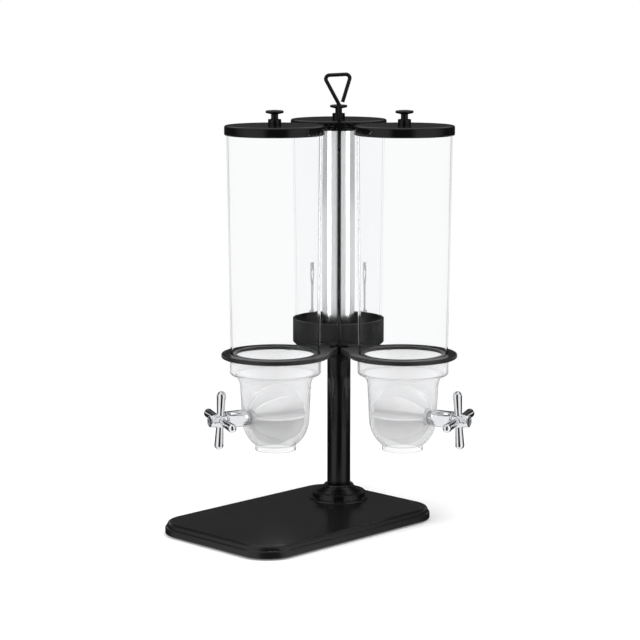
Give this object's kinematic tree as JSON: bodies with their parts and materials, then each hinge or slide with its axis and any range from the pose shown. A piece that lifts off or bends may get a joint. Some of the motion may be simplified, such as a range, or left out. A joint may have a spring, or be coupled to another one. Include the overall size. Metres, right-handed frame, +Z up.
{
  "type": "revolving cereal and juice dispenser",
  "caption": "Black revolving table dispenser: clear cereal hoppers with chrome paddle handles and a clear juice tank with steel ice tube, on a post with a moulded base.",
  "frame": {"origin": "on the post axis, in the plane of the pad's underside (the table)", "axes": "+Z up along the post, -Y towards the long front end of the base, +X to its right"},
  "size_m": [0.3432, 0.417, 0.5952],
  "materials": {
    "black_steel": "smooth satin to gloss black coating",
    "black_plastic": "moulded gloss black",
    "clear_plastic": "clear, polished",
    "chrome": "bright polished plating",
    "steel": "polished stainless steel",
    "silicone": "milky white, soft",
    "rubber": "matt black",
    "nylon": "natural white"
  },
  "bodies": {
    "stand": {"base_pad": "rubber", "base_plate": "black_steel", "post_foot": "black_steel", "post_tube": "black_steel", "post_plug": "steel", "post_bolt": "steel", "spindle": "black_steel", "thrust_washer": "black_plastic", "spindle_clip": "steel"},
    "carousel": {"hub": "black_steel", "hub_bush": "black_plastic", "left_bracket": "black_steel", "right_bracket": "black_steel", "tank_cup": "black_steel", "bracket_screws": "black_steel", "handle_rod": "black_steel", "rod_nut": "black_steel", "left_tube_gasket": "rubber", "right_tube_gasket": "rubber", "left_tube": "clear_plastic", "right_tube": "clear_plastic", "left_bowl": "clear_plastic", "right_bowl": "clear_plastic", "bowl_screws": "black_steel", "left_bearing": "chrome", "right_bearing": "chrome", "left_bearing_nut": "nylon", "right_bearing_nut": "nylon", "juice_tank": "clear_plastic", "ice_tube": "steel", "tank_catches": "clear_plastic", "tap_body": "chrome", "tap_bonnet": "chrome", "tap_gasket": "rubber", "tap_nut": "nylon", "tap_pin": "steel", "tap_spring": "steel"},
    "left_drive": {"left_shaft": "steel", "left_paddle": "silicone", "left_handle": "chrome", "left_handle_screw": "chrome"},
    "right_drive": {"right_shaft": "steel", "right_paddle": "silicone", "right_handle": "chrome", "right_handle_screw": "chrome"},
    "left_cover": {"left_lid": "black_plastic", "left_knob": "black_plastic", "left_lid_seal": "silicone", "left_knob_screw": "steel"},
    "right_cover": {"right_lid": "black_plastic", "right_knob": "black_plastic", "right_lid_seal": "silicone", "right_knob_screw": "steel"},
    "juice_cover": {"juice_lid": "black_plastic", "juice_knob": "black_plastic", "juice_lid_seal": "silicone", "juice_knob_screw": "steel"},
    "tap_grip": {"tap_lever": "black_plastic"},
    "tap_valve": {"tap_stem": "steel", "tap_seal": "rubber"}
  },
  "joints": [
    {"name": "carousel_spin", "type": "hinge", "parent": "stand", "child": "carousel", "pos_m": [0, 0, 0.2], "axis": [0, 0, 1], "continuous": true},
    {"name": "left_handle_turn", "type": "hinge", "parent": "carousel", "child": "left_drive", "pos_m": [-0.02619, -0.09444, 0.143], "axis": [-0.2672, -0.9636, 0], "continuous": true},
    {"name": "right_handle_turn", "type": "hinge", "parent": "carousel", "child": "right_drive", "pos_m": [0.09488, 0.02454, 0.143], "axis": [0.9681, 0.2504, 0], "continuous": true},
    {"name": "left_lid_lift", "type": "slide", "parent": "carousel", "child": "left_cover", "axis": [0, 0, 1], "range_m": [0, 0.06]},
    {"name": "right_lid_lift", "type": "slide", "parent": "carousel", "child": "right_cover", "axis": [0, 0, 1], "range_m": [0, 0.06]},
    {"name": "juice_lid_lift", "type": "slide", "parent": "carousel", "child": "juice_cover", "axis": [0, 0, 1], "range_m": [0, 0.06]},
    {"name": "tap_lever_pull", "type": "hinge", "parent": "carousel", "child": "tap_grip", "pos_m": [-0.14088, 0.14336, 0.262], "axis": [-0.7133, -0.7009, 0], "range_deg": [0, 22]},
    {"name": "tap_stem_lift", "type": "slide", "parent": "carousel", "child": "tap_valve", "axis": [0, 0, 1], "range_m": [0, 0.0036], "stiffness_N_per_m": 120, "springref_m": -0.005, "deforming": ["tap_spring"]}
  ],
  "couplings": [
    {"joint": "tap_lever_pull", "follows": "tap_stem_lift", "rad_per_m": 106.66}
  ]
}
